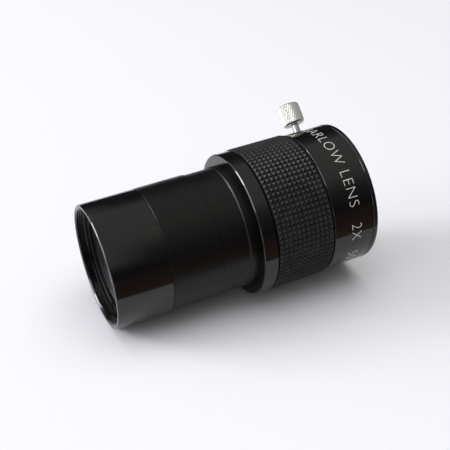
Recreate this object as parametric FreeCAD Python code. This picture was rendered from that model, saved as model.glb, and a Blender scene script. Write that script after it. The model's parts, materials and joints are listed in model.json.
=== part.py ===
"""Two-inch 2x barlow lens, as an assembly of its separate turned, moulded and ground pieces.

Millimetres. The optical axis is X: light enters at the lens cell, towards -X, and the eyepiece goes in
from the +X end. +Z is up with the lens lying on its side. The origin is on the optical axis, in the plane
of the collar's front face, which is the face that stops against a focuser.
"""
import FreeCAD, Part
from FreeCAD import Vector
import math
import os

# ---- driving dimensions -------------------------------------------------------------------------------

# Stations along the optical axis.
FRONT_X = -59.1              # front rim of the lens cell
CELL_JOINT_X = -36.3         # lens cell butts on the barrel tube
UNDERCUT_START_X = -15.2     # safety undercut in the barrel
UNDERCUT_END_X = -3.4
COLLAR_X = 0.0               # front face of the stop collar
COLLAR_BACK_X = 6.0
GRIP_START_X = 6.8
GRIP_END_X = 31.1
HOLDER_LAND_X = 31.7         # front edge of the plain rear land of the holder
END_RING_X = 49.5            # joint between the holder and its end ring
REAR_X = 51.7                # rear face, where the eyepiece enters

# Outside radii.
BARREL_R = 25.4              # two-inch barrel
UNDERCUT_R = 25.0
COLLAR_R = 29.7
GRIP_SEAT_R = 28.2
GRIP_R = 30.15
HOLDER_R = 29.5

# Inside radii.
FILTER_THREAD_R = 23.6       # minor radius of the M48 x 0.75 filter thread
RING_THREAD_R = 23.0         # thread that holds the retaining ring
LENS_SEAT_R = 22.35
CELL_APERTURE_R = 20.9
TUBE_BORE_R = 22.6
EYEPIECE_BORE_R = 25.5
CLAMP_GROOVE_R = 27.25

# Joints between pieces.
RUNNING_FIT = 0.05           # radial clearance of threads and spigots
CELL_SPIGOT_R = 23.6
CELL_SPIGOT_LENGTH = 6.0
TUBE_SPIGOT_R = 24.2
TUBE_SPIGOT_LENGTH = 8.0
COLLAR_RECESS = 0.1          # the tube's shoulder sits this deep in the collar's front face
JOINT_CHAMFER = 0.16         # the two edges that make each fine joint line
RIM_CHAMFER = 0.35
LAND_CHAMFER = 0.18
END_RING_CHAMFER = 0.3
END_RING_REAR_CHAMFER = 0.5

# Lens group, from the front.
RING_FRONT_X = FRONT_X + 4.4
RING_THICKNESS = 1.4
RING_INNER_R = 20.8
RING_BEVEL = 0.2
SPANNER_SLOT_WIDTH = 1.6
SPANNER_SLOT_DEPTH = 0.7
SPANNER_SLOT_TURN = 85.0      # degrees from Y towards -Z
LENS_R = 22.3
LENS_CLEAR_R = 21.2          # ground faces are spherical up to here, with a flat rim outside it
FRONT_ELEMENT_RIM = 9.4
FRONT_ELEMENT_FRONT_SAG = 4.0
FRONT_ELEMENT_REAR_SAG = 3.6
SPACER_THICKNESS = 0.6
REAR_ELEMENT_RIM = 2.2
REAR_ELEMENT_FRONT_SAG = 3.5
REAR_ELEMENT_REAR_SAG = 0.9

# Eyepiece clamp.
SCREW_X = 42.9               # thumbscrew axis
SCREW_LEAN = 44.0            # degrees that the thumbscrew leans from +Z towards +Y
CLAMP_RING_WIDTH = 7.5
CLAMP_RING_OUTER_R = 26.5
CLAMP_RING_INNER_R = 25.6
CLAMP_RING_GAP = 2.5
CLAMP_SIDE_PLAY = 0.2
SCREW_HOLE_R = 2.05
SCREW_THREAD_R = 2.0
SCREW_NECK_R = 1.57
SCREW_TIP_R = 1.5
SCREW_TIP_H = CLAMP_RING_OUTER_R + 0.02      # heights are measured out from the optical axis
SCREW_THREAD_START_H = 27.0
SCREW_THREAD_END_H = 29.0
HEAD_BOTTOM_H = 33.8
HEAD_TOP_H = 42.5
HEAD_R = 4.77
HEAD_CHAMFER = 0.4
STUD_PRESS_DEPTH = 5.0
STUD_PRESS_R = 1.9

ORIGIN = Vector(0, 0, 0)
X_AXIS = Vector(1, 0, 0)
FULL_TURN = 360


# ---- shape helpers ------------------------------------------------------------------------------------

def point(x, r):
    """A point of a half section through the optical axis."""
    return Vector(x, 0, r)


def spin(wire):
    """The solid that a closed half section makes when it turns about the optical axis."""
    solid = Part.Face(wire).revolve(ORIGIN, X_AXIS, FULL_TURN)
    if solid.Volume < 0:
        solid.reverse()
    return solid


def turned(corners):
    """A turned piece from the (x, r) corners of its half section."""
    points = [point(x, r) for x, r in corners]
    return spin(Part.makePolygon(points + points[:1]))


def radial(shape, x=SCREW_X):
    """A shape built along +Z about its own axis, leaned onto the thumbscrew axis at station x."""
    placed = shape.copy()
    placed.rotate(ORIGIN, X_AXIS, -SCREW_LEAN)
    placed.translate(Vector(x, 0, 0))
    return placed


def sphere_face(vertex_x, edge_x, rising):
    """An arc of a ground face, between its vertex on the axis and the edge of its clear radius."""
    sag = edge_x - vertex_x
    radius = (LENS_CLEAR_R**2 + sag**2) / (2 * abs(sag))
    middle_r = LENS_CLEAR_R / 2
    middle_sag = math.copysign(radius - math.sqrt(radius**2 - middle_r**2), sag)
    ends = [point(vertex_x, 0), point(edge_x, LENS_CLEAR_R)]
    if not rising:
        ends.reverse()
    return Part.Arc(ends[0], point(vertex_x + middle_sag, middle_r), ends[1]).toShape()


def glass_element(front_x, rim, front_sag, rear_sag):
    """A ground element. A sag is how far its face falls towards +X from the rim to the vertex."""
    back_x = front_x + rim
    front_vertex = front_x + front_sag
    back_vertex = back_x + rear_sag
    rim_corners = [(front_x, LENS_CLEAR_R), (front_x, LENS_R), (back_x, LENS_R), (back_x, LENS_CLEAR_R)]
    rim_wire = Part.makePolygon([point(x, r) for x, r in rim_corners])
    axis_line = Part.LineSegment(point(back_vertex, 0), point(front_vertex, 0)).toShape()
    edges = [sphere_face(front_vertex, front_x, True)]
    edges += rim_wire.Edges
    edges += [sphere_face(back_vertex, back_x, False), axis_line]
    return spin(Part.Wire(edges))


# ---- lens cell ----------------------------------------------------------------------------------------

RING_BACK_X = RING_FRONT_X + RING_THICKNESS
FRONT_ELEMENT_BACK_X = RING_BACK_X + FRONT_ELEMENT_RIM
REAR_ELEMENT_FRONT_X = FRONT_ELEMENT_BACK_X + SPACER_THICKNESS
LENS_SHOULDER_X = REAR_ELEMENT_FRONT_X + REAR_ELEMENT_RIM


def lens_cell():
    """Glossy front cell: filter thread, retaining ring thread, lens seat and the spigot into the tube."""
    thread_step_x = RING_FRONT_X - 0.5
    relief_x = RING_BACK_X + 0.4
    spigot_end_x = CELL_JOINT_X + CELL_SPIGOT_LENGTH
    return turned([
        (FRONT_X, FILTER_THREAD_R + RIM_CHAMFER),
        (FRONT_X, BARREL_R - RIM_CHAMFER),
        (FRONT_X + RIM_CHAMFER, BARREL_R),
        (CELL_JOINT_X - JOINT_CHAMFER, BARREL_R),
        (CELL_JOINT_X, BARREL_R - JOINT_CHAMFER),
        (CELL_JOINT_X, CELL_SPIGOT_R),
        (spigot_end_x - RIM_CHAMFER, CELL_SPIGOT_R),
        (spigot_end_x, CELL_SPIGOT_R - RIM_CHAMFER),
        (spigot_end_x, CELL_APERTURE_R),
        (LENS_SHOULDER_X, CELL_APERTURE_R),
        (LENS_SHOULDER_X, LENS_SEAT_R),
        (relief_x, LENS_SEAT_R),
        (relief_x, RING_THREAD_R),
        (thread_step_x, RING_THREAD_R),
        (thread_step_x, FILTER_THREAD_R),
        (FRONT_X + RIM_CHAMFER, FILTER_THREAD_R),
    ])


def lens_retaining_ring():
    """Thin threaded ring with a bevelled bore and two slots for a spanner."""
    outer_r = RING_THREAD_R - RUNNING_FIT
    ring = turned([
        (RING_FRONT_X, RING_INNER_R + RING_BEVEL),
        (RING_FRONT_X, outer_r),
        (RING_BACK_X, outer_r),
        (RING_BACK_X, RING_INNER_R),
        (RING_FRONT_X + RING_BEVEL, RING_INNER_R),
    ])
    slot_size = (2 * SPANNER_SLOT_DEPTH, 4 * RING_THREAD_R, SPANNER_SLOT_WIDTH)
    slot = Part.makeBox(*slot_size)
    slot.translate(Vector(RING_FRONT_X - SPANNER_SLOT_DEPTH, -slot_size[1] / 2, -slot_size[2] / 2))
    slot.rotate(ORIGIN, X_AXIS, -SPANNER_SLOT_TURN)
    return ring.cut(slot)


def front_lens_element():
    """Negative low-dispersion element, hollowed on both sides."""
    return glass_element(RING_BACK_X, FRONT_ELEMENT_RIM, FRONT_ELEMENT_FRONT_SAG, -FRONT_ELEMENT_REAR_SAG)


def lens_spacer_ring():
    """Ring that sets the air gap between the two elements."""
    return turned([
        (FRONT_ELEMENT_BACK_X, LENS_CLEAR_R),
        (FRONT_ELEMENT_BACK_X, LENS_R),
        (REAR_ELEMENT_FRONT_X, LENS_R),
        (REAR_ELEMENT_FRONT_X, LENS_CLEAR_R),
    ])


def rear_lens_element():
    """Positive meniscus, convex towards the front element."""
    return glass_element(
        REAR_ELEMENT_FRONT_X, REAR_ELEMENT_RIM, -REAR_ELEMENT_FRONT_SAG, -REAR_ELEMENT_REAR_SAG
    )


# ---- barrel and holder --------------------------------------------------------------------------------

def barrel_tube():
    """Matte tube with the safety undercut, a socket for the cell and a spigot into the holder."""
    undercut_step = BARREL_R - UNDERCUT_R
    socket_r = CELL_SPIGOT_R + RUNNING_FIT
    socket_end_x = CELL_JOINT_X + CELL_SPIGOT_LENGTH + 0.4
    shoulder_x = COLLAR_X + COLLAR_RECESS
    spigot_end_x = COLLAR_X + TUBE_SPIGOT_LENGTH
    return turned([
        (CELL_JOINT_X, socket_r),
        (CELL_JOINT_X, BARREL_R - JOINT_CHAMFER),
        (CELL_JOINT_X + JOINT_CHAMFER, BARREL_R),
        (UNDERCUT_START_X, BARREL_R),
        (UNDERCUT_START_X, UNDERCUT_R),
        (UNDERCUT_END_X - undercut_step, UNDERCUT_R),
        (UNDERCUT_END_X, BARREL_R),
        (shoulder_x, BARREL_R),
        (shoulder_x, TUBE_SPIGOT_R),
        (spigot_end_x, TUBE_SPIGOT_R),
        (spigot_end_x, TUBE_BORE_R),
        (socket_end_x, TUBE_BORE_R),
        (socket_end_x, socket_r),
    ])


def screw_hole():
    """The thumbscrew's hole through the holder wall, with its countersink."""
    inner_h = EYEPIECE_BORE_R
    depth = HOLDER_R - inner_h + 1.0
    hole = Part.makeCylinder(SCREW_HOLE_R, depth, Vector(0, 0, inner_h))
    sink_depth = 0.3
    sink_base = Vector(0, 0, HOLDER_R - sink_depth)
    sink = Part.makeCone(SCREW_HOLE_R, SCREW_HOLE_R + 2 * sink_depth, 2 * sink_depth, sink_base)
    return radial(hole.fuse(sink))


def eyepiece_holder():
    """Glossy body: stop collar, seat for the grip, plain rear land, eyepiece bore and clamp groove."""
    thread_r = TUBE_SPIGOT_R + RUNNING_FIT
    recess_r = BARREL_R + RUNNING_FIT
    shoulder_x = COLLAR_X + COLLAR_RECESS
    groove_start_x = SCREW_X - CLAMP_RING_WIDTH / 2 - CLAMP_SIDE_PLAY
    body = turned([
        (shoulder_x, thread_r),
        (shoulder_x, recess_r),
        (COLLAR_X, recess_r),
        (COLLAR_X, COLLAR_R - RIM_CHAMFER),
        (COLLAR_X + RIM_CHAMFER, COLLAR_R),
        (COLLAR_BACK_X - JOINT_CHAMFER, COLLAR_R),
        (COLLAR_BACK_X, COLLAR_R - JOINT_CHAMFER),
        (COLLAR_BACK_X, GRIP_SEAT_R),
        (HOLDER_LAND_X, GRIP_SEAT_R),
        (HOLDER_LAND_X, HOLDER_R - LAND_CHAMFER),
        (HOLDER_LAND_X + LAND_CHAMFER, HOLDER_R),
        (END_RING_X - JOINT_CHAMFER, HOLDER_R),
        (END_RING_X, HOLDER_R - JOINT_CHAMFER),
        (END_RING_X, CLAMP_GROOVE_R),
        (groove_start_x, CLAMP_GROOVE_R),
        (groove_start_x, EYEPIECE_BORE_R),
        (TUBE_SPIGOT_LENGTH, EYEPIECE_BORE_R),
        (TUBE_SPIGOT_LENGTH, thread_r),
    ])
    return body.cut(screw_hole())


def rubber_grip():
    """Moulded sleeve on the holder. Its radius is over the tips of its pattern."""
    edge = 0.3
    return turned([
        (GRIP_START_X, GRIP_SEAT_R),
        (GRIP_START_X, GRIP_R - edge),
        (GRIP_START_X + edge, GRIP_R),
        (GRIP_END_X - edge, GRIP_R),
        (GRIP_END_X, GRIP_R - edge),
        (GRIP_END_X, GRIP_SEAT_R),
    ])


def rear_end_ring():
    """Threaded ring that closes the clamp groove, with a lead-in to the bore."""
    spigot_r = CLAMP_GROOVE_R - RUNNING_FIT
    spigot_x = SCREW_X + CLAMP_RING_WIDTH / 2 + CLAMP_SIDE_PLAY
    lead_in = 0.7
    return turned([
        (REAR_X - lead_in, EYEPIECE_BORE_R),
        (spigot_x, EYEPIECE_BORE_R),
        (spigot_x, spigot_r),
        (END_RING_X, spigot_r),
        (END_RING_X, HOLDER_R - END_RING_CHAMFER),
        (END_RING_X + END_RING_CHAMFER, HOLDER_R),
        (REAR_X - END_RING_REAR_CHAMFER, HOLDER_R),
        (REAR_X, HOLDER_R - END_RING_REAR_CHAMFER),
        (REAR_X, EYEPIECE_BORE_R + lead_in),
    ])


# ---- eyepiece clamp -----------------------------------------------------------------------------------

def compression_ring():
    """Split brass ring that the thumbscrew presses on the eyepiece. Its gap is opposite the screw."""
    start_x = SCREW_X - CLAMP_RING_WIDTH / 2
    end_x = SCREW_X + CLAMP_RING_WIDTH / 2
    edge = 0.2
    ring = turned([
        (start_x, CLAMP_RING_INNER_R + edge),
        (start_x, CLAMP_RING_OUTER_R),
        (end_x, CLAMP_RING_OUTER_R),
        (end_x, CLAMP_RING_INNER_R + edge),
        (end_x - edge, CLAMP_RING_INNER_R),
        (start_x + edge, CLAMP_RING_INNER_R),
    ])
    gap_height = 2 * (CLAMP_RING_OUTER_R - CLAMP_RING_INNER_R) + 2
    gap = Part.makeBox(2 * CLAMP_RING_WIDTH, CLAMP_RING_GAP, gap_height)
    gap.translate(Vector(-CLAMP_RING_WIDTH, -CLAMP_RING_GAP / 2, -CLAMP_RING_OUTER_R - 1))
    return ring.cut(radial(gap))


def screw_turned(corners):
    """A piece turned about the thumbscrew axis, from (height, radius) corners."""
    points = [Vector(r, 0, h) for h, r in corners]
    solid = Part.Face(Part.makePolygon(points + points[:1])).revolve(ORIGIN, Vector(0, 0, 1), FULL_TURN)
    if solid.Volume < 0:
        solid.reverse()
    return radial(solid)


def thumbscrew_stud():
    """Steel stud: plain tip, threaded length in the holder wall, plain neck and press-fit end."""
    tip_bevel = 0.2
    press_top_h = HEAD_BOTTOM_H + STUD_PRESS_DEPTH
    return screw_turned([
        (SCREW_TIP_H, 0),
        (SCREW_TIP_H, SCREW_TIP_R - tip_bevel),
        (SCREW_TIP_H + tip_bevel, SCREW_TIP_R),
        (SCREW_THREAD_START_H, SCREW_TIP_R),
        (SCREW_THREAD_START_H + tip_bevel, SCREW_THREAD_R),
        (SCREW_THREAD_END_H - tip_bevel, SCREW_THREAD_R),
        (SCREW_THREAD_END_H, SCREW_NECK_R),
        (HEAD_BOTTOM_H, SCREW_NECK_R),
        (HEAD_BOTTOM_H, STUD_PRESS_R),
        (press_top_h, STUD_PRESS_R),
        (press_top_h, 0),
    ])


def thumbscrew_head():
    """Knurled head with chamfered edges and a blind hole for the stud."""
    hole_top_h = HEAD_BOTTOM_H + STUD_PRESS_DEPTH
    return screw_turned([
        (HEAD_BOTTOM_H, STUD_PRESS_R),
        (HEAD_BOTTOM_H, HEAD_R - HEAD_CHAMFER),
        (HEAD_BOTTOM_H + HEAD_CHAMFER, HEAD_R),
        (HEAD_TOP_H - HEAD_CHAMFER, HEAD_R),
        (HEAD_TOP_H, HEAD_R - HEAD_CHAMFER),
        (HEAD_TOP_H, 0),
        (hole_top_h, 0),
        (hole_top_h, STUD_PRESS_R),
    ])


# ---- export -------------------------------------------------------------------------------------------

PIECES = [
    lens_cell,
    lens_retaining_ring,
    front_lens_element,
    lens_spacer_ring,
    rear_lens_element,
    barrel_tube,
    eyepiece_holder,
    rubber_grip,
    rear_end_ring,
    compression_ring,
    thumbscrew_stud,
    thumbscrew_head,
]

os.makedirs("parts", exist_ok=True)
for make in PIECES:
    shape = make()
    shape.exportStep("parts/" + make.__name__ + ".step")
    box = shape.BoundBox
    size = (box.XLength, box.YLength, box.ZLength)
    print(make.__name__, "volume %.0f" % shape.Volume, "size %.2f x %.2f x %.2f" % size, shape.isValid())
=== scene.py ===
"""Looks of the two-inch barlow lens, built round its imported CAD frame.

Metres, in the CAD frame: the optical axis is X, light enters at the -X end, and +Z is up as the lens lies.
"""
import json
import math

import bmesh
import bpy
from mathutils import Matrix, Vector


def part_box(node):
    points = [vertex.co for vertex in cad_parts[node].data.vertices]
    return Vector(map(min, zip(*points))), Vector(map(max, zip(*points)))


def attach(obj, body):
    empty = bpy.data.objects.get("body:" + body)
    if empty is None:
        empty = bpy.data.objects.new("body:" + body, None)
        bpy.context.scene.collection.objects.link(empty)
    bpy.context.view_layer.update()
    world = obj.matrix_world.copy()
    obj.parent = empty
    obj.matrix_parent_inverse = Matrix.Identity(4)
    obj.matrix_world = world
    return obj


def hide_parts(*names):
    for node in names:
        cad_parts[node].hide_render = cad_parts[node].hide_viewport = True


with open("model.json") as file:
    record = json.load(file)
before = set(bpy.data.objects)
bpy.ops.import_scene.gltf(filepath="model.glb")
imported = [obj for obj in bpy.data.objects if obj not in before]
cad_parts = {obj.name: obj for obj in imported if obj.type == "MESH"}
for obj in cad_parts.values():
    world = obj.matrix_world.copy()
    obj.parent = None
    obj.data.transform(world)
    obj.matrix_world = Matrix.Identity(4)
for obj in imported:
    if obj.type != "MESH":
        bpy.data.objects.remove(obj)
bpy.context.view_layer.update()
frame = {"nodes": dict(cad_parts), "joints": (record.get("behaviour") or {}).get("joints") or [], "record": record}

MM = 0.001
TURN = 2 * math.pi
X_AXIS = Vector((1, 0, 0))


# ---- what the frame says ------------------------------------------------------------------------------

def places(node):
    """The vertices of a CAD node as (x, distance from the optical axis)."""
    return [(v.co.x, math.hypot(v.co.y, v.co.z)) for v in frame["nodes"][node].data.vertices]


def ends(node):
    """Where a CAD node starts and ends along the optical axis."""
    low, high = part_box(node)
    return low.x, high.x


def outer_radius(node):
    return max(r for x, r in places(node))


def inner_radius(node):
    return min(r for x, r in places(node))


def stretch(node, radius):
    """Where the part of a CAD node that has this radius starts and ends."""
    near = 0.01 * MM
    found = [x for x, r in places(node) if abs(r - radius) < near]
    return min(found), max(found)


def radius_at(node, x):
    """The largest radius a CAD node has at station x."""
    near = 0.01 * MM
    return max(r for at, r in places(node) if abs(at - x) < near)


def mount(name):
    return next(m for m in frame["record"]["mounts"] if m["name"] == name)


def joint(name):
    return next(j for j in frame["joints"] if j["name"] == name)


BARREL_R = mount("barrel")["dims"]["r_mm"] * MM
FILTER_R = mount("filter_thread")["dims"]["r_mm"] * MM
EYEPIECE_R = mount("eyepiece_bore")["dims"]["r_mm"] * MM
COLLAR_R = 29.7 * MM
LAND_R = 29.5 * MM                # the holder's rear land and the end ring behind it
JOINT_GAP = 0.06 * MM             # the fine joint line between the cell and the tube
JOINT_DEPTH = 0.5 * MM
RING_GAP = 0.14 * MM              # the joint line in front of the end ring
RING_GAP_DEPTH = 0.55 * MM
GRIP_DEPTH = 0.85 * MM            # of the grooves between the pyramids
CLEAR_R = 21.2 * MM               # the glass is blackened outside this radius
SAME_POINT = 0.0002 * MM          # corners closer than this are merged
SCREW_X = joint("thumbscrew_turn")["pos_m"][0]
SCREW_OUT = -Vector(joint("thumbscrew_turn")["axis"]).normalized()


# ---- mesh tools ---------------------------------------------------------------------------------------

def new_piece(name, body, material, points, faces, crease=28):
    """A mesh piece that rides on a body. Edges sharper than crease degrees stay sharp in the shading."""
    mesh = bpy.data.meshes.new(name)
    mesh.from_pydata([tuple(p) for p in points], [], faces)
    work = bmesh.new()
    work.from_mesh(mesh)
    bmesh.ops.remove_doubles(work, verts=work.verts, dist=SAME_POINT)
    bmesh.ops.recalc_face_normals(work, faces=work.faces)
    work.to_mesh(mesh)
    work.free()
    mesh.shade_smooth()
    mesh.set_sharp_from_angle(angle=math.radians(crease))
    mesh.materials.append(material)
    piece = bpy.data.objects.new(name, mesh)
    bpy.context.scene.collection.objects.link(piece)
    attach(piece, body)
    return piece


def about_x(x, r, angle):
    """A point at station x and radius r, turned from +Z towards -Y by angle."""
    return Vector((x, -r * math.sin(angle), r * math.cos(angle)))


# One pitch of the filter thread: (share of the pitch, 0 on the crest and 1 in the root).
THREAD_SHAPE = [(0.0, 0), (0.35, 0), (0.60, 1), (0.78, 1)]


def lathe(name, body, material, profile, segments):
    """A closed half section turned about the optical axis.

    Each entry of the profile is a corner (x, r), or a helix of thread_rows. Helices come with x falling.
    """
    points = []
    helices = [row for row, corner in enumerate(profile) if callable(corner)]
    for corner in profile:
        for segment in range(segments):
            angle = TURN * segment / segments
            x, r = corner(angle) if callable(corner) else corner
            points.append(about_x(x, r, angle))

    def past_seam(row):
        """The row that a row runs into after a whole turn, in which a helix moves on by one pitch."""
        if row not in helices:
            return row
        return min(helices[-1], row + len(THREAD_SHAPE))

    def corner_after(row, segment):
        if segment + 1 < segments:
            return row * segments + segment + 1
        return past_seam(row) * segments

    faces = []
    for row in range(len(profile)):
        above = (row + 1) % len(profile)
        for segment in range(segments):
            first, last = row * segments + segment, above * segments + segment
            faces.append((first, corner_after(row, segment), corner_after(above, segment), last))
    return new_piece(name, body, material, points, faces)


def triangle_wave(turns):
    """1 at whole turns and 0 half way between them."""
    return abs(2 * (turns % 1) - 1)


def thread_rows(start, end, minor, depth, pitch):
    """Helices that make an internal thread with flat crests and roots, cut deeper than the minor radius.

    Each helix is a function of the angle that gives (x, r). It is held between start and end, where the
    thread runs out.
    """
    run_in, run_out = 0.4 * pitch, pitch

    def helix(rise, cut):
        def at(angle):
            x = min(end, max(start, start + rise - pitch * angle / TURN))
            fade = min(1, (x - start) / run_in, (end - x) / run_out)
            return x, minor + depth * cut * fade
        return at

    turns = math.ceil((end - start) / pitch) + 1
    return [helix((turn + share) * pitch, cut) for turn in range(turns) for share, cut in THREAD_SHAPE]


# ---- material tools -----------------------------------------------------------------------------------

def add(tree, kind, inputs=None, **settings):
    """A new node. Its inputs are values, or sockets to link."""
    made = tree.nodes.new(kind)
    for name, value in settings.items():
        setattr(made, name, value)
    for key, value in (inputs or {}).items():
        if isinstance(value, bpy.types.NodeSocket):
            tree.links.new(value, made.inputs[key])
        else:
            made.inputs[key].default_value = value
    return made


def maths(tree, operation, first, second=0.0):
    return add(tree, "ShaderNodeMath", {0: first, 1: second}, operation=operation).outputs[0]


def noise(tree, vector, scale, detail=2.0, roughness=0.5):
    inputs = {"Vector": vector, "Scale": scale, "Detail": detail, "Roughness": roughness}
    return add(tree, "ShaderNodeTexNoise", inputs).outputs["Fac"]


def remap(tree, value, low, high, to_low, to_high):
    inputs = {"Value": value, "From Min": low, "From Max": high, "To Min": to_low, "To Max": to_high}
    return add(tree, "ShaderNodeMapRange", inputs).outputs["Result"]


def blend_colour(tree, share, first, second):
    made = add(tree, "ShaderNodeMix", {"Factor": share}, data_type="RGBA")
    for socket, value in (("A", first), ("B", second)):
        target = next(s for s in made.inputs if s.name == socket and s.type == "RGBA")
        if isinstance(value, bpy.types.NodeSocket):
            tree.links.new(value, target)
        else:
            target.default_value = (*value, 1)
    return next(s for s in made.outputs if s.type == "RGBA")


def new_look(name, constants):
    """A material, its node tree, its shader and the object coordinates."""
    material = bpy.data.materials.new(name)
    material.use_nodes = True
    tree = material.node_tree
    shader = tree.nodes["Principled BSDF"]
    for socket, value in constants.items():
        shader.inputs[socket].default_value = value
    coordinates = add(tree, "ShaderNodeTexCoord").outputs["Object"]
    return material, tree, shader, coordinates


def radius_from_axis(tree, coordinates):
    """The distance of the shaded point from the optical axis."""
    parts = add(tree, "ShaderNodeSeparateXYZ", {0: coordinates})
    across = maths(tree, "MULTIPLY", parts.outputs["Y"], parts.outputs["Y"])
    up = maths(tree, "MULTIPLY", parts.outputs["Z"], parts.outputs["Z"])
    return maths(tree, "SQRT", maths(tree, "ADD", across, up))


def turned_coordinates(tree, coordinates, pitch):
    """Coordinates whose noise makes fine rings round the optical axis, on cylinders and on end faces."""
    parts = add(tree, "ShaderNodeSeparateXYZ", {0: coordinates})
    change_across = 40.0
    inputs = {
        "X": maths(tree, "MULTIPLY", parts.outputs["X"], 1 / pitch),
        "Y": maths(tree, "MULTIPLY", radius_from_axis(tree, coordinates), 1 / pitch),
        "Z": maths(tree, "MULTIPLY", parts.outputs["Y"], change_across),
    }
    return add(tree, "ShaderNodeCombineXYZ", inputs).outputs[0]


def dust(tree, coordinates, spacing, share):
    """1 on sparse small specks, 0 elsewhere. A smaller share leaves fewer specks."""
    largest = 0.12
    cells = add(tree, "ShaderNodeTexVoronoi", {"Vector": coordinates, "Scale": 1 / spacing})
    chosen = add(tree, "ShaderNodeSeparateColor", {0: cells.outputs["Color"]}).outputs[0]
    speck_radius = remap(tree, chosen, 1 - share, 1.0, 0.0, largest)
    inside = maths(tree, "LESS_THAN", cells.outputs["Distance"], speck_radius)
    return maths(tree, "MULTIPLY", inside, maths(tree, "GREATER_THAN", chosen, 1 - share))


# ---- materials ----------------------------------------------------------------------------------------

def anodised(name, colour, specular, roughness, ring_depth, ring_pitch, grain_depth, speck_share):
    """Black anodised aluminium: turning rings, a fine grain, soft smudges and a few specks of dust."""
    material, tree, shader, coordinates = new_look(name, {"IOR": 1.5, "Specular IOR Level": specular})
    rings = noise(tree, turned_coordinates(tree, coordinates, ring_pitch), 1.0, 2.0, 0.6)
    smudges = noise(tree, coordinates, 90.0, 3.0, 0.55)
    grain = noise(tree, coordinates, 9000.0, 2.0, 0.6)
    specks = dust(tree, coordinates, 1.1 * MM, speck_share)
    smudged = remap(tree, smudges, 0.35, 0.7, roughness * 0.85, roughness * 1.25)
    rough = maths(tree, "ADD", smudged, maths(tree, "MULTIPLY", rings, roughness * 0.25))
    dull_specks = maths(tree, "MULTIPLY", specks, 0.5)
    tree.links.new(maths(tree, "ADD", rough, dull_specks), shader.inputs["Roughness"])
    deep = tuple(0.8 * c for c in colour)
    shade = blend_colour(tree, remap(tree, rings, 0.3, 0.7, 0, 1), deep, colour)
    pale_dust = (0.16, 0.155, 0.15)
    tree.links.new(blend_colour(tree, specks, shade, pale_dust), shader.inputs["Base Color"])
    ring_bump = add(tree, "ShaderNodeBump", {"Strength": 1.0, "Distance": ring_depth, "Height": rings})
    inputs = {"Strength": 1.0, "Distance": grain_depth, "Height": grain, "Normal": ring_bump.outputs[0]}
    tree.links.new(add(tree, "ShaderNodeBump", inputs).outputs[0], shader.inputs["Normal"])
    return material


def rubber():
    """Matte moulded rubber, smoother on its rubbed tips and paler there than in its grooves: partly wear on the
    tips, partly painted shade in the grooves. With specks of dust.
    """
    constants = {"IOR": 1.47, "Specular IOR Level": 0.33}
    material, tree, shader, coordinates = new_look("black_rubber_grip", constants)
    radius = radius_from_axis(tree, coordinates)
    floor_r = outer_radius("rubber_grip") - GRIP_DEPTH
    height = remap(tree, radius, floor_r, outer_radius("rubber_grip"), 0.0, 1.0)
    mottle = noise(tree, coordinates, 260.0, 4.0, 0.6)
    grain = noise(tree, coordinates, 5200.0, 3.0, 0.65)
    # The grooves between the pyramids are darker than the tips: painted shade in the recesses, partly wear on the
    # tips.
    groove_painted_shade, tip, grey = (0.009, 0.009, 0.0095), (0.017, 0.0172, 0.0175), (0.026, 0.0265, 0.0265)
    tip_wear_and_groove_shade = blend_colour(tree, height, groove_painted_shade, tip)
    worn = blend_colour(tree, remap(tree, mottle, 0.45, 0.75, 0.0, 0.8), tip_wear_and_groove_shade, grey)
    specks = dust(tree, coordinates, 1.3 * MM, 0.05)
    pale_dust = (0.17, 0.165, 0.155)
    tree.links.new(blend_colour(tree, specks, worn, pale_dust), shader.inputs["Base Color"])
    tip_polish = remap(tree, height, 0.2, 1.0, 0.44, 0.40)
    rough = maths(tree, "ADD", tip_polish, maths(tree, "MULTIPLY", grain, 0.1))
    tree.links.new(rough, shader.inputs["Roughness"])
    bump = add(tree, "ShaderNodeBump", {"Strength": 0.8, "Distance": 0.012 * MM, "Height": grain})
    tree.links.new(bump.outputs[0], shader.inputs["Normal"])
    return material


def metal(name, colour, dark, roughness, stretch_by, grain_depth):
    """Bare or plated metal with a grain, finer along the axes where stretch_by is larger."""
    material, tree, shader, coordinates = new_look(name, {"Metallic": 1.0})
    inputs = {0: coordinates, 1: stretch_by}
    drawn = add(tree, "ShaderNodeVectorMath", inputs, operation="MULTIPLY").outputs[0]
    grain = noise(tree, drawn, 1.0, 3.0, 0.6)
    stains = noise(tree, coordinates, 240.0, 3.0, 0.6)
    stained = remap(tree, stains, 0.4, 0.75, 0.0, 1.0)
    tree.links.new(blend_colour(tree, stained, colour, dark), shader.inputs["Base Color"])
    spread = maths(tree, "MULTIPLY", remap(tree, grain, 0.3, 0.7, 0.8, 1.2), roughness)
    rough = maths(tree, "ADD", spread, maths(tree, "MULTIPLY", stains, 0.08))
    tree.links.new(rough, shader.inputs["Roughness"])
    bump = add(tree, "ShaderNodeBump", {"Strength": 1.0, "Distance": grain_depth, "Height": grain})
    tree.links.new(bump.outputs[0], shader.inputs["Normal"])
    return material


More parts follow.
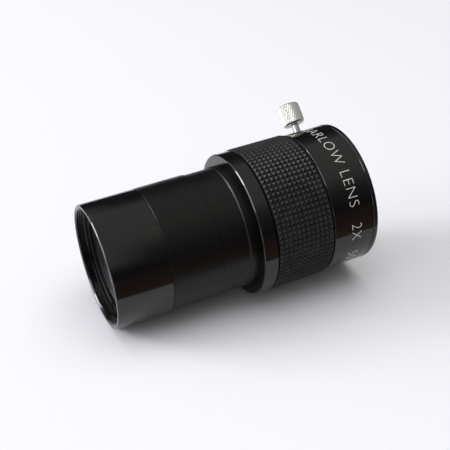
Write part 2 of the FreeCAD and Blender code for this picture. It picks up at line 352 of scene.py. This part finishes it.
def glass():
    """Polished optical glass with faintly blue reflections, blackened outside its clear radius."""
    constants = {"IOR": 1.80, "Specular Tint": (0.88, 0.90, 1.0, 1.0)}
    material, tree, shader, coordinates = new_look("coated_optical_glass", constants)
    painted = maths(tree, "GREATER_THAN", radius_from_axis(tree, coordinates), CLEAR_R)
    clear, black = (0.97, 0.985, 1.0), (0.004, 0.004, 0.004)
    tree.links.new(blend_colour(tree, painted, clear, black), shader.inputs["Base Color"])
    tree.links.new(maths(tree, "SUBTRACT", 1.0, painted), shader.inputs["Transmission Weight"])
    specks = dust(tree, coordinates, 1.6 * MM, 0.06)
    haze = remap(tree, noise(tree, coordinates, 180.0, 3.0), 0.5, 0.8, 0.0, 0.02)
    rough = maths(tree, "ADD", haze, maths(tree, "MULTIPLY", specks, 0.6))
    dull_paint = maths(tree, "MULTIPLY", painted, 0.5)
    tree.links.new(maths(tree, "ADD", rough, dull_paint), shader.inputs["Roughness"])
    return material


def marking():
    """Pale laser marking, slightly uneven."""
    material, tree, shader, coordinates = new_look("pale_marking", {"Roughness": 0.55, "IOR": 1.4})
    mottle = noise(tree, coordinates, 1400.0, 3.0, 0.6)
    pale, dull = (0.74, 0.72, 0.66), (0.56, 0.54, 0.49)
    patchy = remap(tree, mottle, 0.4, 0.7, 0, 1)
    tree.links.new(blend_colour(tree, patchy, pale, dull), shader.inputs["Base Color"])
    bump = add(tree, "ShaderNodeBump", {"Strength": 0.6, "Distance": 0.01 * MM, "Height": mottle})
    tree.links.new(bump.outputs[0], shader.inputs["Normal"])
    return material


gloss_black = anodised("gloss_black_anodised_turned", (0.0016, 0.0016, 0.0018),
                       specular=0.5, roughness=0.09, ring_depth=0.0006 * MM, ring_pitch=0.11 * MM,
                       grain_depth=0.0001 * MM, speck_share=0.012)
matte_black = anodised("matte_black_anodised_blasted", (0.0030, 0.0029, 0.0028),
                       specular=0.28, roughness=0.30, ring_depth=0.0010 * MM, ring_pitch=0.16 * MM,
                       grain_depth=0.0012 * MM, speck_share=0.010)
ring_black = anodised("satin_black_anodised_fine", (0.004, 0.004, 0.0043),
                      specular=0.22, roughness=0.36, ring_depth=0.0010 * MM, ring_pitch=0.09 * MM,
                      grain_depth=0.0006 * MM, speck_share=0.006)
grip_rubber = rubber()
brass = metal("turned_brass", (0.72, 0.50, 0.21), (0.48, 0.31, 0.12),
              roughness=0.26, stretch_by=(9000, 60, 60), grain_depth=0.0012 * MM)
steel = metal("satin_plated_steel", (0.74, 0.735, 0.69), (0.69, 0.685, 0.65),
              roughness=0.42, stretch_by=(3500, 3500, 3500), grain_depth=0.0012 * MM)
polished_steel = metal("polished_plated_steel", (0.56, 0.56, 0.56), (0.44, 0.44, 0.44),
                       roughness=0.14, stretch_by=(2600, 2600, 2600), grain_depth=0.0004 * MM)
# Darker than the head's own steel: painted shade along the head's turned chamfers, which are also smoother.
chamfer_steel_painted_dark = metal("turned_plated_steel_painted_dark_edges", (0.42, 0.415, 0.40), (0.34, 0.335, 0.33),
                      roughness=0.13, stretch_by=(2600, 2600, 2600), grain_depth=0.0003 * MM)
optical_glass = glass()
pale_marking = marking()


# ---- CAD nodes whose shape is right -------------------------------------------------------------------

def dress(node, material):
    piece = frame["nodes"][node]
    if not piece.material_slots:
        piece.data.materials.append(material)
    piece.material_slots[0].material = material


dress("lens_retaining_ring", ring_black)
dress("lens_spacer_ring", ring_black)
dress("front_lens_element", optical_glass)
dress("rear_lens_element", optical_glass)
dress("eyepiece_holder", gloss_black)
dress("compression_ring", brass)
dress("thumbscrew_stud", polished_steel)


# ---- lens cell with its filter thread -----------------------------------------------------------------

def lens_cell():
    """The cell, with its filter thread cut as a helix of the M48 x 0.75 pitch."""
    front, spigot_end = ends("lens_cell")
    joint_x = ends("barrel_tube")[0]
    ring_front, ring_back = ends("lens_retaining_ring")
    shoulder = ends("rear_lens_element")[1]
    play = 0.05 * MM
    edge = 0.35 * MM
    fine_edge = 0.16 * MM
    ring_thread_r = outer_radius("lens_retaining_ring") + play
    seat_r = outer_radius("front_lens_element") + play
    spigot_r = 23.6 * MM
    aperture_r = 20.9 * MM
    step = ring_front - 0.5 * MM
    relief = ring_back + 0.4 * MM
    entry = 0.5 * MM
    lead = front + entry
    bevel = edge / 3
    thread_depth = 0.18 * MM
    thread_pitch = 0.75 * MM
    outside = [
        (front, FILTER_R + entry),
        (front, BARREL_R - edge),
        (front + bevel, BARREL_R - bevel * 2),
        (front + 2 * bevel, BARREL_R - bevel),
        (front + edge + bevel, BARREL_R),
        (joint_x - JOINT_GAP - fine_edge, BARREL_R),
        (joint_x - JOINT_GAP, BARREL_R - fine_edge),
        (joint_x - JOINT_GAP, BARREL_R - JOINT_DEPTH),
        (joint_x, BARREL_R - JOINT_DEPTH),
        (joint_x, spigot_r),
        (spigot_end - edge, spigot_r),
        (spigot_end, spigot_r - edge),
        (spigot_end, aperture_r),
        (shoulder, aperture_r),
        (shoulder, seat_r),
        (relief, seat_r),
        (relief, ring_thread_r),
        (step, ring_thread_r),
        (step, FILTER_R),
    ]
    thread = thread_rows(lead, step, FILTER_R, thread_depth, thread_pitch)
    profile = outside + thread[::-1] + [(lead, FILTER_R)]
    cell = lathe("lens_cell_threaded", "lens_cell", gloss_black, profile,
                 segments=240)
    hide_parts("lens_cell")


# ---- barrel tube with its light-trap grooves ----------------------------------------------------------

def barrel_tube():
    """The tube, with the undercut outside and fine light-trap grooves in its bore."""
    start, spigot_end = ends("barrel_tube")
    collar_x = ends("eyepiece_holder")[0]
    undercut_r = 25.0 * MM
    undercut_start, undercut_flat_end = stretch("barrel_tube", undercut_r)
    undercut_end = undercut_flat_end + BARREL_R - undercut_r
    shoulder = stretch("barrel_tube", BARREL_R)[1]
    bore_r = inner_radius("barrel_tube")
    spigot_r = 24.2 * MM
    socket_r = 23.65 * MM
    socket_end = stretch("barrel_tube", bore_r)[0]
    fine_edge = 0.16 * MM
    outside = [
        (start, socket_r),
        (start, BARREL_R - JOINT_DEPTH),
        (start + JOINT_GAP, BARREL_R - JOINT_DEPTH),
        (start + JOINT_GAP, BARREL_R - fine_edge),
        (start + JOINT_GAP + fine_edge, BARREL_R),
        (undercut_start - fine_edge, BARREL_R),
        (undercut_start, BARREL_R - fine_edge),
        (undercut_start, undercut_r),
        (undercut_flat_end, undercut_r),
        (undercut_end, BARREL_R),
        (collar_x, BARREL_R),
        (shoulder, BARREL_R),
        (shoulder, spigot_r),
        (spigot_end, spigot_r),
        (spigot_end, bore_r),
    ]
    pitch = 0.9 * MM
    depth = 0.35 * MM
    root, next_crest = 0.45 * pitch, 0.5 * pitch
    grooves = []
    x = spigot_end - pitch
    while x > socket_end + 2 * pitch:
        grooves += [(x, bore_r), (x - root, bore_r + depth), (x - next_crest, bore_r)]
        x -= pitch
    profile = outside + grooves + [(socket_end, bore_r), (socket_end, socket_r)]
    tube = lathe("barrel_tube_grooved", "holder", matte_black, profile,
                 segments=200)
    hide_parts("barrel_tube")


# ---- end ring -----------------------------------------------------------------------------------------

def rounded_edge(x, r, radius, steps=4):
    """Corners of a rounded outer edge that ends at station x, in profile order."""
    corners = []
    for i in range(steps + 1):
        angle = math.pi / 2 * i / steps
        corners.append((x - radius + radius * math.sin(angle), r - radius + radius * math.cos(angle)))
    return corners


def rear_end_ring():
    """The ring behind the joint line, bevelled in front, rounded behind, with a lead-in to the bore."""
    spigot_start, rear = ends("rear_end_ring")
    land_end = ends("eyepiece_holder")[1]
    lead_in = 0.7 * MM
    spigot_r = radius_at("rear_end_ring", spigot_start)
    bevel = 0.36 * MM
    rear_rounding = 0.6 * MM
    outside = [(land_end + RING_GAP, LAND_R - bevel), (land_end + RING_GAP + bevel, LAND_R)]
    outside += rounded_edge(rear, LAND_R, rear_rounding)
    profile = [
        (rear, EYEPIECE_R + lead_in),
        (rear - lead_in, EYEPIECE_R),
        (spigot_start, EYEPIECE_R),
        (spigot_start, spigot_r),
        (land_end, spigot_r),
        (land_end, LAND_R - RING_GAP_DEPTH),
        (land_end + RING_GAP, LAND_R - RING_GAP_DEPTH),
    ] + outside
    ring = lathe("rear_end_ring_turned", "holder", gloss_black, profile,
                 segments=240)
    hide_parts("rear_end_ring")


# ---- rubber grip --------------------------------------------------------------------------------------

def rubber_grip():
    """The sleeve, moulded all over in small square pyramids with rounded tips."""
    around, rows = 88, 12
    start, end = ends("rubber_grip")
    tip_r = outer_radius("rubber_grip")
    seat_r = inner_radius("rubber_grip")
    border = 0.15 * MM
    pitch = (end - start - 2 * border) / rows
    # Half widths of a pyramid in pitches, and its height there as a share of its whole height.
    levels = [(0.46, 0.0), (0.08, 0.90), (0.045, 0.97), (0.02, 1.0)]
    corners = [(-1, -1), (1, -1), (1, 1), (-1, 1)]
    points, faces, index = [], [], {}

    def vertex(key, x, turn, r):
        if key not in index:
            index[key] = len(points)
            points.append(about_x(x, r, TURN * turn / around))
        return index[key]

    floor_r = tip_r - GRIP_DEPTH
    for row in range(rows):
        for column in range(around):
            rings = []
            for level, (half, share) in enumerate(levels):
                ring = []
                for across, along in corners:
                    x = start + border + (row + 0.5 + along * half) * pitch
                    turn = column + 0.5 + across * half
                    key = (row, column, level, across, along)
                    ring.append(vertex(key, x, turn, floor_r + GRIP_DEPTH * share))
                rings.append(ring)
            for lower, upper in zip(rings, rings[1:]):
                for i in range(4):
                    faces.append((lower[i], lower[(i + 1) % 4], upper[(i + 1) % 4], upper[i]))
            faces.append(tuple(rings[-1]))

    def foot(row, column, across, along):
        return index[(row, column % around, 0, across, along)]

    for row in range(rows):
        for column in range(around):
            beside = column + 1
            faces.append((foot(row, column, 1, -1), foot(row, beside, -1, -1),
                          foot(row, beside, -1, 1), foot(row, column, 1, 1)))
            if row + 1 < rows:
                above = row + 1
                faces.append((foot(row, column, -1, 1), foot(row, column, 1, 1),
                              foot(above, column, 1, -1), foot(above, column, -1, -1)))
                faces.append((foot(row, column, 1, 1), foot(row, beside, -1, 1),
                              foot(above, beside, -1, -1), foot(above, column, 1, -1)))

    rims = []
    for x, row, along in ((start, 0, -1), (end, rows - 1, 1)):
        feet, edge, inside = [], [], []
        for column in range(around):
            for across in (-1, 1):
                turn = column + 0.5 + across * levels[0][0]
                feet.append(foot(row, column, across, along))
                edge.append(vertex(("edge", x, turn), x, turn, floor_r))
                inside.append(vertex(("inside", x, turn), x, turn, seat_r))
        for first, second in ((feet, edge), (edge, inside)):
            for i in range(len(first)):
                after = (i + 1) % len(first)
                faces.append((first[i], first[after], second[after], second[i]))
        rims.append(inside)
    front, back = rims
    for i in range(len(front)):
        after = (i + 1) % len(front)
        faces.append((front[i], front[after], back[after], back[i]))
    grip = new_piece("rubber_grip_pyramids", "holder", grip_rubber, points, faces,
                     crease=20)
    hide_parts("rubber_grip")


# ---- thumbscrew head ----------------------------------------------------------------------------------

def about_screw(h, r, angle):
    """A point at height h over the optical axis and radius r about the thumbscrew's axis."""
    side = SCREW_OUT.cross(X_AXIS)
    offset = r * math.cos(angle) * X_AXIS + r * math.sin(angle) * side
    return Vector((SCREW_X, 0, 0)) + h * SCREW_OUT + offset


def screw_span(node):
    """Where a CAD node starts and ends along the thumbscrew's axis, and its radius about that axis."""
    found = []
    for v in frame["nodes"][node].data.vertices:
        offset = v.co - Vector((SCREW_X, 0, 0))
        h = offset.dot(SCREW_OUT)
        found.append((h, (offset - h * SCREW_OUT).length))
    return min(h for h, r in found), max(h for h, r in found), max(r for h, r in found)


def thumbscrew_head():
    """The head, with a long diamond knurl and a turned chamfer at each end that cuts into it. The chamfers are
    coloured darker as painted shade along the head's edges.
    """
    low, high, head_r = screw_span("thumbscrew_head")
    chamfer = 0.5 * MM
    stud_r = 1.9 * MM
    hole_depth = 5.0 * MM
    around, depth = 36, 0.20 * MM
    long_pitch = 2.6 * MM
    ridge_slope = 1.25
    steps, steps_along = 6, 12
    row_height = long_pitch / steps_along
    columns = around * steps
    rows = round((high - low) / row_height)
    points, faces = [], []

    def knurl(column, row):
        u, v = column / steps, row / steps_along
        ridge = min(triangle_wave(u + v), triangle_wave(u - v))
        h = low + (high - low) * row / rows
        cone = head_r - chamfer + min(h - low, high - h)
        return h, min(head_r - depth * (1 - min(1, ridge_slope * ridge)), cone)

    for row in range(rows + 1):
        for column in range(columns):
            h, r = knurl(column, row)
            points.append(about_screw(h, r, TURN * column / columns))
    for row in range(rows):
        for column in range(columns):
            after = (column + 1) % columns
            a, b = row * columns + column, row * columns + after
            c, d = b + columns, a + columns
            if (row + column) % 2 == 0:
                faces += [(a, b, c), (a, c, d)]
            else:
                faces += [(a, b, d), (b, c, d)]

    def ring(h, r):
        first = len(points)
        points.extend(about_screw(h, r, TURN * column / columns) for column in range(columns))
        return list(range(first, first + columns))

    def bridge(first, second):
        for i in range(columns):
            after = (i + 1) % columns
            faces.append((first[i], first[after], second[after], second[i]))

    bottom = list(range(columns))
    top = list(range(rows * columns, (rows + 1) * columns))
    mouth, hole_top = ring(low, stud_r), ring(low + hole_depth, stud_r)
    bridge(bottom, mouth)
    bridge(mouth, hole_top)
    faces.append(tuple(hole_top))
    middle = ring(high, head_r / 2)
    bridge(top, middle)
    faces.append(tuple(middle))
    head = new_piece("thumbscrew_head_knurled", "thumbscrew", steel, points, faces,
                     crease=22)
    # The turned chamfers at the head's ends take the darker steel: painted shade along its top and bottom edges.
    head.data.materials.append(chamfer_steel_painted_dark)
    turned = 0.9 * chamfer
    underside = 0.05 * chamfer
    for face in head.data.polygons:
        h = (face.center - Vector((SCREW_X, 0, 0))).dot(SCREW_OUT)
        if h - low > underside and min(h - low, high - h) < turned:
            face.material_index = 1
    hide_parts("thumbscrew_head")


# ---- lettering ----------------------------------------------------------------------------------------

def lettering():
    """A generic marking on the holder's rear land, with the tops of the letters towards the rear."""
    cap_height = 4.7 * MM
    base_x = 39.3 * MM
    start_angle = math.radians(-22)
    lift = 0.012 * MM
    thinner = 0.17 * MM
    cap_share = 0.7                   # of the font's size
    curve = bpy.data.curves.new("marking", "FONT")
    curve.body = "BARLOW LENS   2X   50.8 mm"
    curve.size = cap_height / cap_share
    curve.offset = -thinner
    curve.space_character = 1.08
    curve.extrude = lift
    curve.resolution_u = 4
    text = bpy.data.objects.new("marking", curve)
    bpy.context.scene.collection.objects.link(text)
    bpy.context.view_layer.update()
    flat = bpy.data.meshes.new_from_object(text.evaluated_get(bpy.context.evaluated_depsgraph_get()))
    bpy.data.objects.remove(text)
    work = bmesh.new()
    work.from_mesh(flat)
    strip = 0.45 * MM
    same_corner = 0.001 * MM
    width = max(v.co.x for v in work.verts)
    for i in range(1, int(width / strip) + 1):
        whole = work.verts[:] + work.edges[:] + work.faces[:]
        bmesh.ops.bisect_plane(work, geom=whole, plane_co=(i * strip, 0, 0), plane_no=(1, 0, 0))
    bmesh.ops.remove_doubles(work, verts=work.verts, dist=same_corner)
    for v in work.verts:
        angle = start_angle + v.co.x / LAND_R
        v.co = about_x(base_x + v.co.y, LAND_R + v.co.z, angle)
    bmesh.ops.recalc_face_normals(work, faces=work.faces)
    work.to_mesh(flat)
    work.free()
    flat.materials.clear()
    flat.materials.append(pale_marking)
    piece = bpy.data.objects.new("holder_marking", flat)
    bpy.context.scene.collection.objects.link(piece)
    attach(piece, "holder")


lens_cell()
barrel_tube()
rear_end_ring()
rubber_grip()
thumbscrew_head()
lettering()


# ---- floor, room, light and camera --------------------------------------------------------------------

def floor_frame():
    """The floor under the lens, which rests on its front rim and its collar. Returns a matrix."""
    rim_x = stretch("lens_cell", BARREL_R)[0]
    collar_x = stretch("eyepiece_holder", COLLAR_R)[0]
    tilt = math.atan2(COLLAR_R - BARREL_R, collar_x - rim_x)
    turn = Matrix.Rotation(tilt, 4, "Y")
    return turn @ Matrix.Translation((0, 0, (turn.inverted() @ Vector((collar_x, 0, -COLLAR_R))).z))


FLOOR = floor_frame()


def floor_piece(name, corners, drop, material):
    """A flat polygon on the floor, or a little below it."""
    mesh = bpy.data.meshes.new(name)
    mesh.from_pydata([(x, y, -drop) for x, y in corners], [], [tuple(range(len(corners)))])
    mesh.materials.append(material)
    piece = bpy.data.objects.new(name, mesh)
    bpy.context.scene.collection.objects.link(piece)
    piece.matrix_world = FLOOR
    return piece


def paper():
    """Plain paper with a faint fibre."""
    constants = {"Roughness": 0.9, "Specular IOR Level": 0.2}
    material, tree, shader, coordinates = new_look("pale_paper", constants)
    fibre = noise(tree, coordinates, 700.0, 5.0, 0.6)
    tint = blend_colour(tree, fibre, (0.785, 0.78, 0.812), (0.81, 0.805, 0.838))
    tree.links.new(tint, shader.inputs["Base Color"])
    bump = add(tree, "ShaderNodeBump", {"Strength": 0.3, "Distance": 0.03 * MM, "Height": fibre})
    tree.links.new(bump.outputs[0], shader.inputs["Normal"])
    return material


def floor():
    """A pale sheet near the lens, and the same paper further out, which no surface mirrors."""
    material = paper()
    near = [(-0.60, -0.40), (-0.14, -0.40), (-0.11, -0.064), (0.60, -0.064), (0.60, 0.42), (-0.60, 0.42)]
    floor_piece("floor_sheet", near, 0.0, material)
    reach, step_down = 3.0, 0.01 * MM
    far = [(-reach, -reach), (reach, -reach), (reach, reach), (-reach, reach)]
    floor_piece("floor_beyond", far, step_down, material).visible_glossy = False


def room():
    """The room that the gloss and the glass mirror. The camera itself sees a plain pale ground.

    Its bands follow the angle about X: dark behind, a pale ceiling, dark in front. Beyond the front end is a
    pale wall, and beyond the rear end a darker one. Above the front end is a pale sky, with a brighter
    curtain low in its back half.
    """
    world = bpy.data.worlds.new("room")
    bpy.context.scene.world = world
    world.use_nodes = True
    tree = world.node_tree
    tree.nodes.clear()
    direction = add(tree, "ShaderNodeTexCoord").outputs["Generated"]
    parts = add(tree, "ShaderNodeSeparateXYZ", {0: direction})
    angle = maths(tree, "ARCTAN2", parts.outputs["Z"], parts.outputs["Y"])
    turns = maths(tree, "FRACT", maths(tree, "ADD", maths(tree, "MULTIPLY", angle, 1 / TURN), 0.25))
    # Degrees from straight down, round behind, over the top and down in front of the lens.
    bands = [
        (0, (0.30, 0.30, 0.30)),
        (82, (0.05, 0.05, 0.055)),
        (92, (0.03, 0.03, 0.034)),
        (115, (0.045, 0.045, 0.05)),
        (130, (0.14, 0.14, 0.145)),
        (142, (0.46, 0.46, 0.45)),
        (160, (0.56, 0.57, 0.55)),
        (190, (0.62, 0.63, 0.58)),
        (212, (0.54, 0.54, 0.50)),
        (227, (0.30, 0.31, 0.28)),
        (240, (0.16, 0.16, 0.15)),
        (252, (0.13, 0.13, 0.125)),
        (262, (0.07, 0.06, 0.058)),
        (272, (0.15, 0.10, 0.09)),
        (300, (0.22, 0.15, 0.10)),
        (325, (0.26, 0.22, 0.20)),
    ]
    ramp = add(tree, "ShaderNodeValToRGB", {"Fac": turns})
    stops = ramp.color_ramp.elements
    while len(stops) < len(bands):
        stops.new(1.0)
    for stop, (degrees, colour) in zip(stops, bands):
        stop.position = degrees / 360
        stop.color = (*colour, 1)
    along, across, up = parts.outputs["X"], parts.outputs["Y"], parts.outputs["Z"]
    front_wall = remap(tree, along, -0.45, -0.70, 0.0, 1.0)
    walls = blend_colour(tree, front_wall, ramp.outputs["Color"], (0.55, 0.56, 0.58))
    rear_wall = remap(tree, along, 0.60, 0.85, 0.0, 1.0)
    walls = blend_colour(tree, rear_wall, walls, (0.22, 0.22, 0.23))
    forward = remap(tree, along, 0.10, -0.30, 0.0, 1.0)
    above = remap(tree, up, 0.30, 0.50, 0.0, 1.0)
    walls = blend_colour(tree, maths(tree, "MULTIPLY", forward, above), walls, (0.60, 0.61, 0.63))
    to_front = remap(tree, along, -0.28, -0.42, 0.0, 1.0)
    behind = remap(tree, across, 0.00, 0.15, 0.0, 1.0)
    low_sky = remap(tree, up, 0.74, 0.66, 0.0, 1.0)
    edges = maths(tree, "MULTIPLY", behind, low_sky)
    curtain = maths(tree, "MULTIPLY", maths(tree, "MULTIPLY", to_front, above), edges)
    walls = blend_colour(tree, curtain, walls, (1.5, 1.52, 1.6))
    seen = add(tree, "ShaderNodeLightPath").outputs["Is Camera Ray"]
    plain_ground = (0.80, 0.80, 0.82)
    colour = blend_colour(tree, seen, walls, plain_ground)
    background = add(tree, "ShaderNodeBackground", {"Color": colour, "Strength": 1.0})
    output = add(tree, "ShaderNodeOutputWorld")
    tree.links.new(background.outputs[0], output.inputs["Surface"])


def area_light(name, direction, distance, size, power, colour=(1.0, 1.0, 1.0), glossy=True):
    """A rectangular light that faces the origin. Where it isn't glossy, no surface mirrors it."""
    data = bpy.data.lights.new(name, "AREA")
    data.shape = "RECTANGLE"
    data.size, data.size_y = size
    data.energy = power
    data.color = colour
    light = bpy.data.objects.new(name, data)
    bpy.context.scene.collection.objects.link(light)
    out = Vector(direction).normalized()
    light.location = out * distance
    light.rotation_euler = out.to_track_quat("Z", "Y").to_euler()
    light.visible_glossy = glossy


def lights():
    """A window beyond the lens's front end, in a bright and a dimmer part, and a soft fill overhead."""
    daylight = (0.985, 0.985, 1.0)
    area_light("window", (-0.790, 0.411, 0.454), distance=2.5, size=(0.90, 0.85), power=35.0,
               colour=daylight)
    area_light("window_blind", (-0.911, 0.050, 0.407), distance=2.5, size=(1.55, 1.05), power=22.0,
               colour=daylight)
    area_light("fill", (0.12, -0.05, 0.95), distance=2.2, size=(2.2, 2.2), power=24.0, glossy=False)


def camera():
    """The camera at its place, aimed by azimuth and elevation and rolled about its own axis."""
    azimuth, elevation, roll = math.radians(22.58), math.radians(32.76), math.radians(-4.67)
    place = Vector((-119.37, -279.5, 195.71)) * MM
    level = Vector((math.sin(azimuth), math.cos(azimuth), 0))
    forward = level * math.cos(elevation) - Vector((0, 0, math.sin(elevation)))
    data = bpy.data.cameras.new("camera")
    data.sensor_width = 36
    data.lens = 70.27
    data.clip_start = 0.01
    piece = bpy.data.objects.new("camera", data)
    bpy.context.scene.collection.objects.link(piece)
    turn = forward.to_track_quat("-Z", "Y").to_matrix().to_4x4() @ Matrix.Rotation(roll, 4, "Z")
    piece.matrix_world = Matrix.Translation(place) @ turn
    bpy.context.scene.camera = piece


floor()
room()
lights()
camera()
bpy.context.scene.view_settings.view_transform = "Standard"
